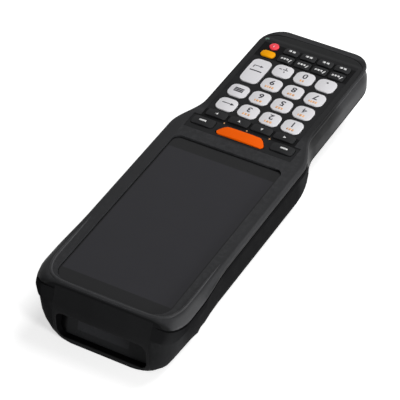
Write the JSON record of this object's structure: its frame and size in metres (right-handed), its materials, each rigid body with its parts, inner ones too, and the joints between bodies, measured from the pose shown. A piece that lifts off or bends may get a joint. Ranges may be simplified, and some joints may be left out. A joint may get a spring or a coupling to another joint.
{
  "type": "portable data terminal",
  "caption": "Handheld barcode data terminal: large display over a numeric keypad grip, scan window in the nose, battery bay, spring keys, sliding latch and port flap.",
  "frame": {"origin": "middle of the outline seen from above, on the underside of the battery section", "axes": "+Y towards the scanner nose, +Z out of the display, +X to the user's right with the keypad nearest to them"},
  "size_m": [0.0774, 0.216, 0.0319],
  "materials": {
    "housing_plastic": "fine-textured charcoal moulding",
    "lower_housing_plastic": "fine-textured near-black moulding",
    "cover_glass": "dark cover glass over a display that is off",
    "black_foam": "black foam gasket",
    "display_panel": "dark display panel",
    "sheet_metal": "plain sheet metal",
    "circuit_board": "green solder mask",
    "scan_window_glass": "dark tinted scan window",
    "engine_housing": "dark grey moulding",
    "battery_plastic": "fine-textured black moulding",
    "gold_contacts": "gold-plated contacts",
    "latch_plastic": "dark grey moulding",
    "camera_glass": "black camera window",
    "soft_rubber": "soft black rubber",
    "screw_steel": "plated steel",
    "white_keys": "light grey-white keys",
    "dark_keys": "charcoal keys",
    "orange_key": "bright orange key",
    "amber_key": "amber key",
    "red_key": "red key"
  },
  "bodies": {
    "housing": {"front_housing": "housing_plastic", "rear_housing": "lower_housing_plastic", "nose_cover": "housing_plastic", "display_glass": "cover_glass", "glass_gasket": "black_foam", "lcd_module": "display_panel", "mid_plate": "sheet_metal", "main_board": "circuit_board", "keypad_frame": "housing_plastic", "dome_sheet": "sheet_metal", "keypad_board": "circuit_board", "scan_window": "scan_window_glass", "scan_engine": "engine_housing", "engine_bracket": "sheet_metal", "battery_pack": "battery_plastic", "battery_contacts": "gold_contacts", "speaker": "engine_housing", "camera_module": "engine_housing", "camera_window": "camera_glass", "vibration_motor": "sheet_metal", "data_port": "sheet_metal", "dock_contacts": "gold_contacts", "housing_screws": "screw_steel"},
    "latch": {"battery_latch": "latch_plastic"},
    "port_flap": {"port_cover": "soft_rubber"},
    "key_scan_body": {"key_scan": "orange_key"},
    "key_1_body": {"key_1": "white_keys"},
    "key_2_body": {"key_2": "white_keys"},
    "key_3_body": {"key_3": "white_keys"},
    "key_4_body": {"key_4": "white_keys"},
    "key_5_body": {"key_5": "white_keys"},
    "key_6_body": {"key_6": "white_keys"},
    "key_7_body": {"key_7": "white_keys"},
    "key_8_body": {"key_8": "white_keys"},
    "key_9_body": {"key_9": "white_keys"},
    "key_point_body": {"key_point": "white_keys"},
    "key_0_body": {"key_0": "white_keys"},
    "key_sign_body": {"key_sign": "white_keys"},
    "key_back_body": {"key_back": "white_keys"},
    "key_menu_body": {"key_menu": "white_keys"},
    "key_enter_body": {"key_enter": "white_keys"},
    "key_left_body": {"key_left": "dark_keys"},
    "key_up_body": {"key_up": "dark_keys"},
    "key_down_body": {"key_down": "dark_keys"},
    "key_right_body": {"key_right": "dark_keys"},
    "key_soft_left_body": {"key_soft_left": "dark_keys"},
    "key_soft_right_body": {"key_soft_right": "dark_keys"},
    "key_f1_body": {"key_f1": "dark_keys"},
    "key_f2_body": {"key_f2": "dark_keys"},
    "key_f3_body": {"key_f3": "dark_keys"},
    "key_f4_body": {"key_f4": "dark_keys"},
    "key_f5_body": {"key_f5": "dark_keys"},
    "key_f6_body": {"key_f6": "dark_keys"},
    "key_f7_body": {"key_f7": "dark_keys"},
    "key_f8_body": {"key_f8": "dark_keys"},
    "key_shift_body": {"key_shift": "amber_key"},
    "key_power_body": {"key_power": "red_key"}
  },
  "joints": [
    {"name": "key_scan_press", "type": "slide", "parent": "housing", "child": "key_scan_body", "axis": [0, 0, -1], "range_m": [0, 0.0006], "stiffness_N_per_m": 1500, "springref_m": -0.0002},
    {"name": "key_1_press", "type": "slide", "parent": "housing", "child": "key_1_body", "axis": [0, 0, -1], "range_m": [0, 0.0006], "stiffness_N_per_m": 1500, "springref_m": -0.0002},
    {"name": "key_2_press", "type": "slide", "parent": "housing", "child": "key_2_body", "axis": [0, 0, -1], "range_m": [0, 0.0006], "stiffness_N_per_m": 1500, "springref_m": -0.0002},
    {"name": "key_3_press", "type": "slide", "parent": "housing", "child": "key_3_body", "axis": [0, 0, -1], "range_m": [0, 0.0006], "stiffness_N_per_m": 1500, "springref_m": -0.0002},
    {"name": "key_4_press", "type": "slide", "parent": "housing", "child": "key_4_body", "axis": [0, 0, -1], "range_m": [0, 0.0006], "stiffness_N_per_m": 1500, "springref_m": -0.0002},
    {"name": "key_5_press", "type": "slide", "parent": "housing", "child": "key_5_body", "axis": [0, 0, -1], "range_m": [0, 0.0006], "stiffness_N_per_m": 1500, "springref_m": -0.0002},
    {"name": "key_6_press", "type": "slide", "parent": "housing", "child": "key_6_body", "axis": [0, 0, -1], "range_m": [0, 0.0006], "stiffness_N_per_m": 1500, "springref_m": -0.0002},
    {"name": "key_7_press", "type": "slide", "parent": "housing", "child": "key_7_body", "axis": [0, 0, -1], "range_m": [0, 0.0006], "stiffness_N_per_m": 1500, "springref_m": -0.0002},
    {"name": "key_8_press", "type": "slide", "parent": "housing", "child": "key_8_body", "axis": [0, 0, -1], "range_m": [0, 0.0006], "stiffness_N_per_m": 1500, "springref_m": -0.0002},
    {"name": "key_9_press", "type": "slide", "parent": "housing", "child": "key_9_body", "axis": [0, 0, -1], "range_m": [0, 0.0006], "stiffness_N_per_m": 1500, "springref_m": -0.0002},
    {"name": "key_point_press", "type": "slide", "parent": "housing", "child": "key_point_body", "axis": [0, 0, -1], "range_m": [0, 0.0006], "stiffness_N_per_m": 1500, "springref_m": -0.0002},
    {"name": "key_0_press", "type": "slide", "parent": "housing", "child": "key_0_body", "axis": [0, 0, -1], "range_m": [0, 0.0006], "stiffness_N_per_m": 1500, "springref_m": -0.0002},
    {"name": "key_sign_press", "type": "slide", "parent": "housing", "child": "key_sign_body", "axis": [0, 0, -1], "range_m": [0, 0.0006], "stiffness_N_per_m": 1500, "springref_m": -0.0002},
    {"name": "key_back_press", "type": "slide", "parent": "housing", "child": "key_back_body", "axis": [0, 0, -1], "range_m": [0, 0.0006], "stiffness_N_per_m": 1500, "springref_m": -0.0002},
    {"name": "key_menu_press", "type": "slide", "parent": "housing", "child": "key_menu_body", "axis": [0, 0, -1], "range_m": [0, 0.0006], "stiffness_N_per_m": 1500, "springref_m": -0.0002},
    {"name": "key_enter_press", "type": "slide", "parent": "housing", "child": "key_enter_body", "axis": [0, 0, -1], "range_m": [0, 0.0006], "stiffness_N_per_m": 1500, "springref_m": -0.0002},
    {"name": "key_left_press", "type": "slide", "parent": "housing", "child": "key_left_body", "axis": [0, 0, -1], "range_m": [0, 0.0006], "stiffness_N_per_m": 1500, "springref_m": -0.0002},
    {"name": "key_up_press", "type": "slide", "parent": "housing", "child": "key_up_body", "axis": [0, 0, -1], "range_m": [0, 0.0006], "stiffness_N_per_m": 1500, "springref_m": -0.0002},
    {"name": "key_down_press", "type": "slide", "parent": "housing", "child": "key_down_body", "axis": [0, 0, -1], "range_m": [0, 0.0006], "stiffness_N_per_m": 1500, "springref_m": -0.0002},
    {"name": "key_right_press", "type": "slide", "parent": "housing", "child": "key_right_body", "axis": [0, 0, -1], "range_m": [0, 0.0006], "stiffness_N_per_m": 1500, "springref_m": -0.0002},
    {"name": "key_soft_left_press", "type": "slide", "parent": "housing", "child": "key_soft_left_body", "axis": [0, 0, -1], "range_m": [0, 0.0006], "stiffness_N_per_m": 1500, "springref_m": -0.0002},
    {"name": "key_soft_right_press", "type": "slide", "parent": "housing", "child": "key_soft_right_body", "axis": [0, 0, -1], "range_m": [0, 0.0006], "stiffness_N_per_m": 1500, "springref_m": -0.0002},
    {"name": "key_f1_press", "type": "slide", "parent": "housing", "child": "key_f1_body", "axis": [0, 0, -1], "range_m": [0, 0.0006], "stiffness_N_per_m": 1500, "springref_m": -0.0002},
    {"name": "key_f2_press", "type": "slide", "parent": "housing", "child": "key_f2_body", "axis": [0, 0, -1], "range_m": [0, 0.0006], "stiffness_N_per_m": 1500, "springref_m": -0.0002},
    {"name": "key_f3_press", "type": "slide", "parent": "housing", "child": "key_f3_body", "axis": [0, 0, -1], "range_m": [0, 0.0006], "stiffness_N_per_m": 1500, "springref_m": -0.0002},
    {"name": "key_f4_press", "type": "slide", "parent": "housing", "child": "key_f4_body", "axis": [0, 0, -1], "range_m": [0, 0.0006], "stiffness_N_per_m": 1500, "springref_m": -0.0002},
    {"name": "key_f5_press", "type": "slide", "parent": "housing", "child": "key_f5_body", "axis": [0, 0, -1], "range_m": [0, 0.0006], "stiffness_N_per_m": 1500, "springref_m": -0.0002},
    {"name": "key_f6_press", "type": "slide", "parent": "housing", "child": "key_f6_body", "axis": [0, 0, -1], "range_m": [0, 0.0006], "stiffness_N_per_m": 1500, "springref_m": -0.0002},
    {"name": "key_f7_press", "type": "slide", "parent": "housing", "child": "key_f7_body", "axis": [0, 0, -1], "range_m": [0, 0.0006], "stiffness_N_per_m": 1500, "springref_m": -0.0002},
    {"name": "key_f8_press", "type": "slide", "parent": "housing", "child": "key_f8_body", "axis": [0, 0, -1], "range_m": [0, 0.0006], "stiffness_N_per_m": 1500, "springref_m": -0.0002},
    {"name": "key_shift_press", "type": "slide", "parent": "housing", "child": "key_shift_body", "axis": [0, 0, -1], "range_m": [0, 0.0006], "stiffness_N_per_m": 1500, "springref_m": -0.0002},
    {"name": "key_power_press", "type": "slide", "parent": "housing", "child": "key_power_body", "axis": [0, 0, -1], "range_m": [0, 0.0006], "stiffness_N_per_m": 1500, "springref_m": -0.0002},
    {"name": "latch_slide", "type": "slide", "parent": "housing", "child": "latch", "axis": [0, 1, 0], "range_m": [0, 0.0025], "stiffness_N_per_m": 300, "springref_m": -0.001},
    {"name": "port_flap_hinge", "type": "hinge", "parent": "housing", "child": "port_flap", "pos_m": [0, -0.1073, 0.0184], "axis": [1, 0, 0], "range_deg": [0, 90]}
  ]
}
